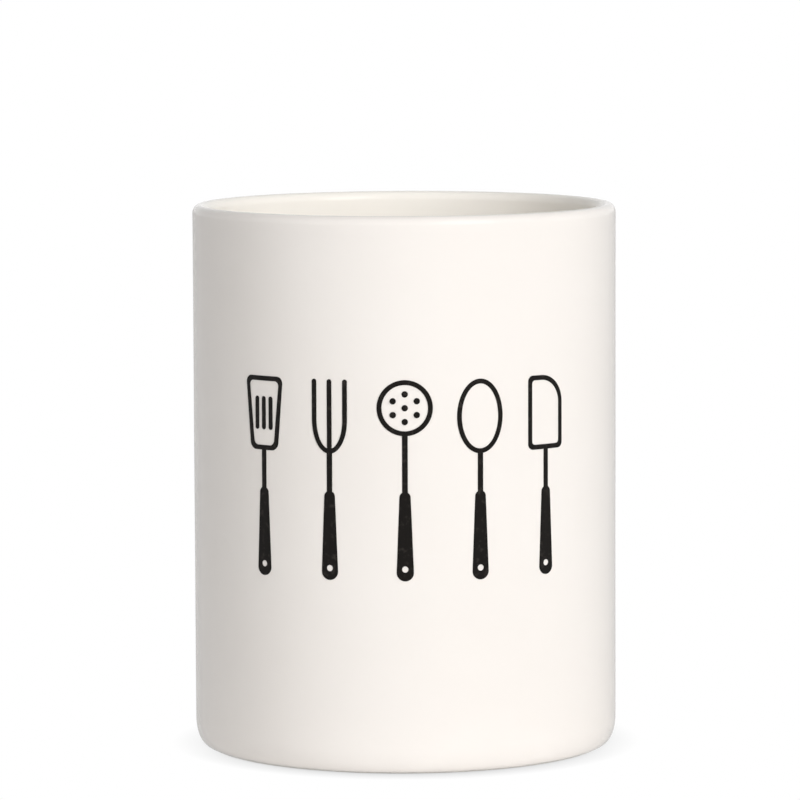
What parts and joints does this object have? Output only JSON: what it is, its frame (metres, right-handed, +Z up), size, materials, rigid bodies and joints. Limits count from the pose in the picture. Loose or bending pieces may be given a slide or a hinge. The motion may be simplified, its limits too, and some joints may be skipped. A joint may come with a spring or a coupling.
{
  "type": "utensil crock",
  "caption": "Straight-sided round ceramic crock with a rounded lip and glazed inside and out, with a black printed row of kitchen tools, for standing cooking utensils on a worktop.",
  "frame": {"origin": "on the table, at the middle of the foot ring", "axes": "+Z up along the crock's axis, the printed front faces -Y, +X to the right of a viewer at the front"},
  "size_m": [0.117, 0.1171, 0.15],
  "materials": {
    "bare_clay": "matte",
    "white_glaze": "gloss",
    "black_ink": "satin"
  },
  "bodies": {
    "root": {"crock_body": "bare_clay", "outer_glaze": "white_glaze", "inner_glaze": "white_glaze", "base_glaze": "white_glaze", "print_turner": "black_ink", "print_fork": "black_ink", "print_skimmer": "black_ink", "print_spoon": "black_ink", "print_scraper": "black_ink"}
  },
  "joints": []
}
